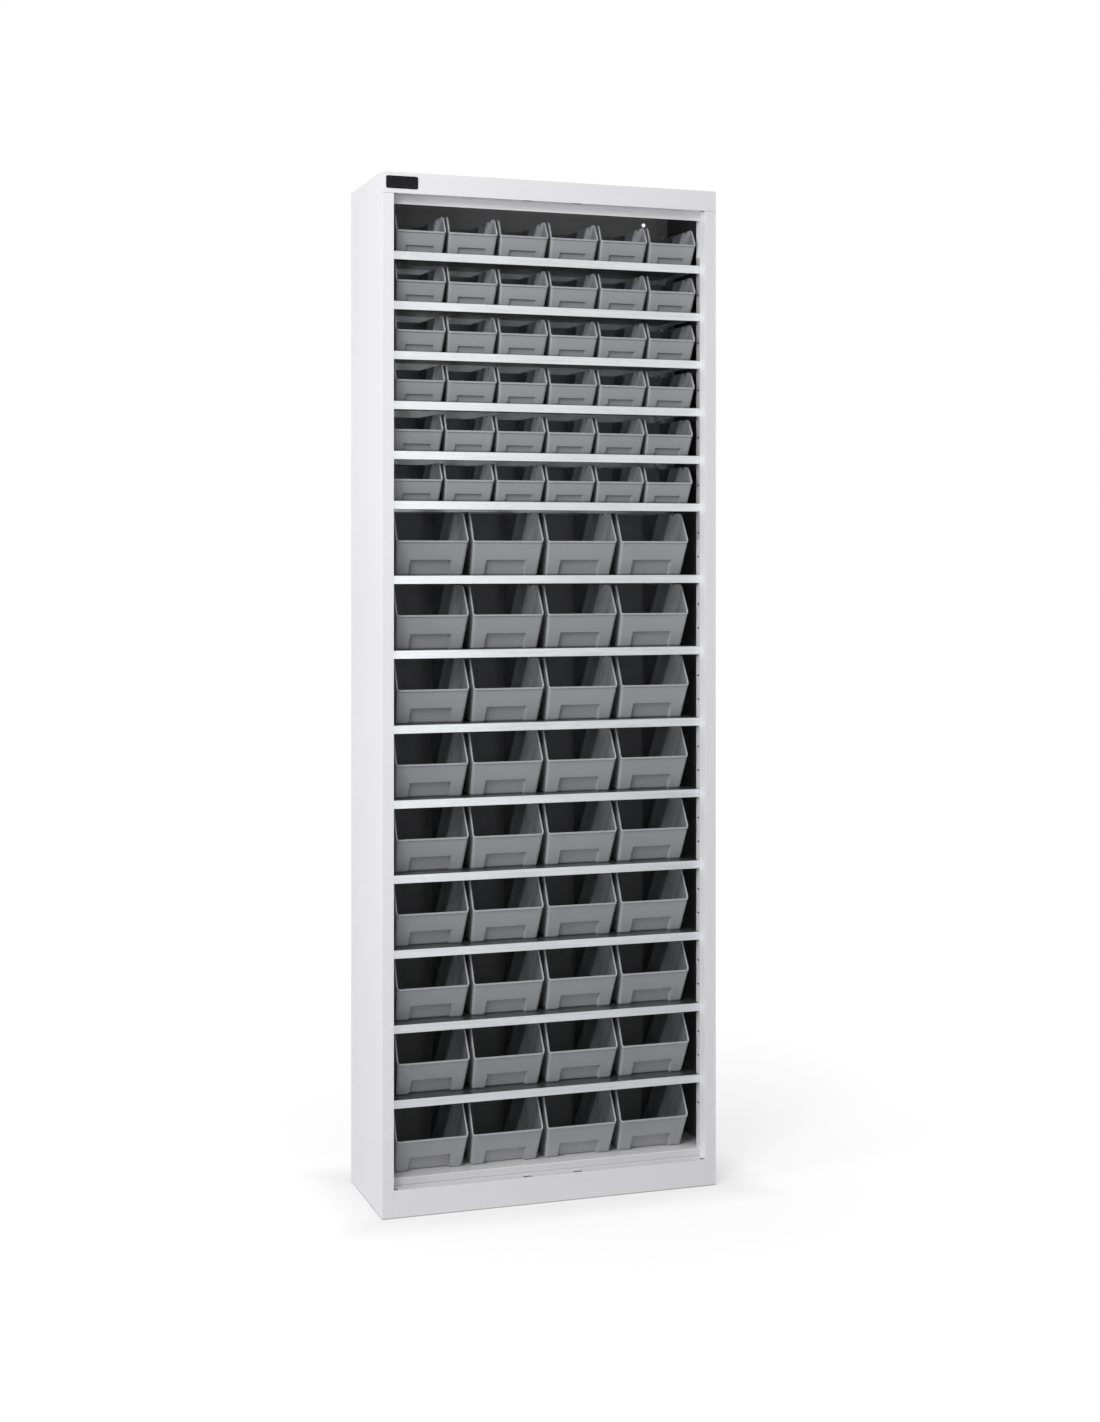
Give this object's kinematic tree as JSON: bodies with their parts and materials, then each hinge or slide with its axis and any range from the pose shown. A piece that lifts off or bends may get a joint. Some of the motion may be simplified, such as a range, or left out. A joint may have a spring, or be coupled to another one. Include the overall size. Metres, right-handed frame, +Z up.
{
  "type": "parts bin cabinet",
  "caption": "Tall open-fronted steel cabinet with galvanised shelves holding rows of small and large grey plastic picking bins that pull straight out.",
  "frame": {"origin": "centre of the bounding box in plan, on the floor", "axes": "+Z up, -Y towards the open front, +X to the right seen from the front"},
  "size_m": [0.69, 0.261, 2],
  "materials": {
    "powder_coat": "satin",
    "galvanised_steel": "brushed",
    "bin_plastic": "matte",
    "black_plate": "gloss"
  },
  "bodies": {
    "cabinet": {"side_panel_left": "powder_coat", "side_panel_right": "powder_coat", "top_panel": "powder_coat", "back_panel": "powder_coat", "floor_panel": "powder_coat", "rear_upright_left": "galvanised_steel", "rear_upright_right": "galvanised_steel", "name_plate": "black_plate", "shelf_clips": "galvanised_steel", "small_bin_shelves": "galvanised_steel", "shelf_7": "galvanised_steel", "shelf_8": "galvanised_steel", "shelf_9": "galvanised_steel", "shelf_10": "galvanised_steel", "shelf_11": "galvanised_steel", "shelf_12": "galvanised_steel", "shelf_13": "galvanised_steel", "shelf_14": "galvanised_steel"},
    "small_bins_row_1": {"small_bins_row_1": "bin_plastic"},
    "small_bins_row_2": {"small_bins_row_2": "bin_plastic"},
    "small_bins_row_3": {"small_bins_row_3": "bin_plastic"},
    "small_bins_row_4": {"small_bins_row_4": "bin_plastic"},
    "small_bins_row_5": {"small_bins_row_5": "bin_plastic"},
    "small_bins_row_6": {"small_bins_row_6": "bin_plastic"},
    "large_bin_7_1": {"large_bin_7_1": "bin_plastic"},
    "large_bin_7_2": {"large_bin_7_2": "bin_plastic"},
    "large_bin_7_3": {"large_bin_7_3": "bin_plastic"},
    "large_bin_7_4": {"large_bin_7_4": "bin_plastic"},
    "large_bin_8_1": {"large_bin_8_1": "bin_plastic"},
    "large_bin_8_2": {"large_bin_8_2": "bin_plastic"},
    "large_bin_8_3": {"large_bin_8_3": "bin_plastic"},
    "large_bin_8_4": {"large_bin_8_4": "bin_plastic"},
    "large_bin_9_1": {"large_bin_9_1": "bin_plastic"},
    "large_bin_9_2": {"large_bin_9_2": "bin_plastic"},
    "large_bin_9_3": {"large_bin_9_3": "bin_plastic"},
    "large_bin_9_4": {"large_bin_9_4": "bin_plastic"},
    "large_bin_10_1": {"large_bin_10_1": "bin_plastic"},
    "large_bin_10_2": {"large_bin_10_2": "bin_plastic"},
    "large_bin_10_3": {"large_bin_10_3": "bin_plastic"},
    "large_bin_10_4": {"large_bin_10_4": "bin_plastic"},
    "large_bin_11_1": {"large_bin_11_1": "bin_plastic"},
    "large_bin_11_2": {"large_bin_11_2": "bin_plastic"},
    "large_bin_11_3": {"large_bin_11_3": "bin_plastic"},
    "large_bin_11_4": {"large_bin_11_4": "bin_plastic"},
    "large_bin_12_1": {"large_bin_12_1": "bin_plastic"},
    "large_bin_12_2": {"large_bin_12_2": "bin_plastic"},
    "large_bin_12_3": {"large_bin_12_3": "bin_plastic"},
    "large_bin_12_4": {"large_bin_12_4": "bin_plastic"},
    "large_bin_13_1": {"large_bin_13_1": "bin_plastic"},
    "large_bin_13_2": {"large_bin_13_2": "bin_plastic"},
    "large_bin_13_3": {"large_bin_13_3": "bin_plastic"},
    "large_bin_13_4": {"large_bin_13_4": "bin_plastic"},
    "large_bin_14_1": {"large_bin_14_1": "bin_plastic"},
    "large_bin_14_2": {"large_bin_14_2": "bin_plastic"},
    "large_bin_14_3": {"large_bin_14_3": "bin_plastic"},
    "large_bin_14_4": {"large_bin_14_4": "bin_plastic"},
    "large_bin_15_1": {"large_bin_15_1": "bin_plastic"},
    "large_bin_15_2": {"large_bin_15_2": "bin_plastic"},
    "large_bin_15_3": {"large_bin_15_3": "bin_plastic"},
    "large_bin_15_4": {"large_bin_15_4": "bin_plastic"}
  },
  "joints": [
    {"name": "small_bins_row_1_slide", "type": "slide", "parent": "cabinet", "child": "small_bins_row_1", "axis": [0, -1, 0], "range_m": [0, 0.195]},
    {"name": "small_bins_row_2_slide", "type": "slide", "parent": "cabinet", "child": "small_bins_row_2", "axis": [0, -1, 0], "range_m": [0, 0.195]},
    {"name": "small_bins_row_3_slide", "type": "slide", "parent": "cabinet", "child": "small_bins_row_3", "axis": [0, -1, 0], "range_m": [0, 0.195]},
    {"name": "small_bins_row_4_slide", "type": "slide", "parent": "cabinet", "child": "small_bins_row_4", "axis": [0, -1, 0], "range_m": [0, 0.195]},
    {"name": "small_bins_row_5_slide", "type": "slide", "parent": "cabinet", "child": "small_bins_row_5", "axis": [0, -1, 0], "range_m": [0, 0.195]},
    {"name": "small_bins_row_6_slide", "type": "slide", "parent": "cabinet", "child": "small_bins_row_6", "axis": [0, -1, 0], "range_m": [0, 0.195]},
    {"name": "large_bin_7_1_slide", "type": "slide", "parent": "cabinet", "child": "large_bin_7_1", "axis": [0, -1, 0], "range_m": [0, 0.26]},
    {"name": "large_bin_7_2_slide", "type": "slide", "parent": "cabinet", "child": "large_bin_7_2", "axis": [0, -1, 0], "range_m": [0, 0.26]},
    {"name": "large_bin_7_3_slide", "type": "slide", "parent": "cabinet", "child": "large_bin_7_3", "axis": [0, -1, 0], "range_m": [0, 0.26]},
    {"name": "large_bin_7_4_slide", "type": "slide", "parent": "cabinet", "child": "large_bin_7_4", "axis": [0, -1, 0], "range_m": [0, 0.26]},
    {"name": "large_bin_8_1_slide", "type": "slide", "parent": "cabinet", "child": "large_bin_8_1", "axis": [0, -1, 0], "range_m": [0, 0.26]},
    {"name": "large_bin_8_2_slide", "type": "slide", "parent": "cabinet", "child": "large_bin_8_2", "axis": [0, -1, 0], "range_m": [0, 0.26]},
    {"name": "large_bin_8_3_slide", "type": "slide", "parent": "cabinet", "child": "large_bin_8_3", "axis": [0, -1, 0], "range_m": [0, 0.26]},
    {"name": "large_bin_8_4_slide", "type": "slide", "parent": "cabinet", "child": "large_bin_8_4", "axis": [0, -1, 0], "range_m": [0, 0.26]},
    {"name": "large_bin_9_1_slide", "type": "slide", "parent": "cabinet", "child": "large_bin_9_1", "axis": [0, -1, 0], "range_m": [0, 0.26]},
    {"name": "large_bin_9_2_slide", "type": "slide", "parent": "cabinet", "child": "large_bin_9_2", "axis": [0, -1, 0], "range_m": [0, 0.26]},
    {"name": "large_bin_9_3_slide", "type": "slide", "parent": "cabinet", "child": "large_bin_9_3", "axis": [0, -1, 0], "range_m": [0, 0.26]},
    {"name": "large_bin_9_4_slide", "type": "slide", "parent": "cabinet", "child": "large_bin_9_4", "axis": [0, -1, 0], "range_m": [0, 0.26]},
    {"name": "large_bin_10_1_slide", "type": "slide", "parent": "cabinet", "child": "large_bin_10_1", "axis": [0, -1, 0], "range_m": [0, 0.26]},
    {"name": "large_bin_10_2_slide", "type": "slide", "parent": "cabinet", "child": "large_bin_10_2", "axis": [0, -1, 0], "range_m": [0, 0.26]},
    {"name": "large_bin_10_3_slide", "type": "slide", "parent": "cabinet", "child": "large_bin_10_3", "axis": [0, -1, 0], "range_m": [0, 0.26]},
    {"name": "large_bin_10_4_slide", "type": "slide", "parent": "cabinet", "child": "large_bin_10_4", "axis": [0, -1, 0], "range_m": [0, 0.26]},
    {"name": "large_bin_11_1_slide", "type": "slide", "parent": "cabinet", "child": "large_bin_11_1", "axis": [0, -1, 0], "range_m": [0, 0.26]},
    {"name": "large_bin_11_2_slide", "type": "slide", "parent": "cabinet", "child": "large_bin_11_2", "axis": [0, -1, 0], "range_m": [0, 0.26]},
    {"name": "large_bin_11_3_slide", "type": "slide", "parent": "cabinet", "child": "large_bin_11_3", "axis": [0, -1, 0], "range_m": [0, 0.26]},
    {"name": "large_bin_11_4_slide", "type": "slide", "parent": "cabinet", "child": "large_bin_11_4", "axis": [0, -1, 0], "range_m": [0, 0.26]},
    {"name": "large_bin_12_1_slide", "type": "slide", "parent": "cabinet", "child": "large_bin_12_1", "axis": [0, -1, 0], "range_m": [0, 0.26]},
    {"name": "large_bin_12_2_slide", "type": "slide", "parent": "cabinet", "child": "large_bin_12_2", "axis": [0, -1, 0], "range_m": [0, 0.26]},
    {"name": "large_bin_12_3_slide", "type": "slide", "parent": "cabinet", "child": "large_bin_12_3", "axis": [0, -1, 0], "range_m": [0, 0.26]},
    {"name": "large_bin_12_4_slide", "type": "slide", "parent": "cabinet", "child": "large_bin_12_4", "axis": [0, -1, 0], "range_m": [0, 0.26]},
    {"name": "large_bin_13_1_slide", "type": "slide", "parent": "cabinet", "child": "large_bin_13_1", "axis": [0, -1, 0], "range_m": [0, 0.26]},
    {"name": "large_bin_13_2_slide", "type": "slide", "parent": "cabinet", "child": "large_bin_13_2", "axis": [0, -1, 0], "range_m": [0, 0.26]},
    {"name": "large_bin_13_3_slide", "type": "slide", "parent": "cabinet", "child": "large_bin_13_3", "axis": [0, -1, 0], "range_m": [0, 0.26]},
    {"name": "large_bin_13_4_slide", "type": "slide", "parent": "cabinet", "child": "large_bin_13_4", "axis": [0, -1, 0], "range_m": [0, 0.26]},
    {"name": "large_bin_14_1_slide", "type": "slide", "parent": "cabinet", "child": "large_bin_14_1", "axis": [0, -1, 0], "range_m": [0, 0.26]},
    {"name": "large_bin_14_2_slide", "type": "slide", "parent": "cabinet", "child": "large_bin_14_2", "axis": [0, -1, 0], "range_m": [0, 0.26]},
    {"name": "large_bin_14_3_slide", "type": "slide", "parent": "cabinet", "child": "large_bin_14_3", "axis": [0, -1, 0], "range_m": [0, 0.26]},
    {"name": "large_bin_14_4_slide", "type": "slide", "parent": "cabinet", "child": "large_bin_14_4", "axis": [0, -1, 0], "range_m": [0, 0.26]},
    {"name": "large_bin_15_1_slide", "type": "slide", "parent": "cabinet", "child": "large_bin_15_1", "axis": [0, -1, 0], "range_m": [0, 0.26]},
    {"name": "large_bin_15_2_slide", "type": "slide", "parent": "cabinet", "child": "large_bin_15_2", "axis": [0, -1, 0], "range_m": [0, 0.26]},
    {"name": "large_bin_15_3_slide", "type": "slide", "parent": "cabinet", "child": "large_bin_15_3", "axis": [0, -1, 0], "range_m": [0, 0.26]},
    {"name": "large_bin_15_4_slide", "type": "slide", "parent": "cabinet", "child": "large_bin_15_4", "axis": [0, -1, 0], "range_m": [0, 0.26]}
  ]
}
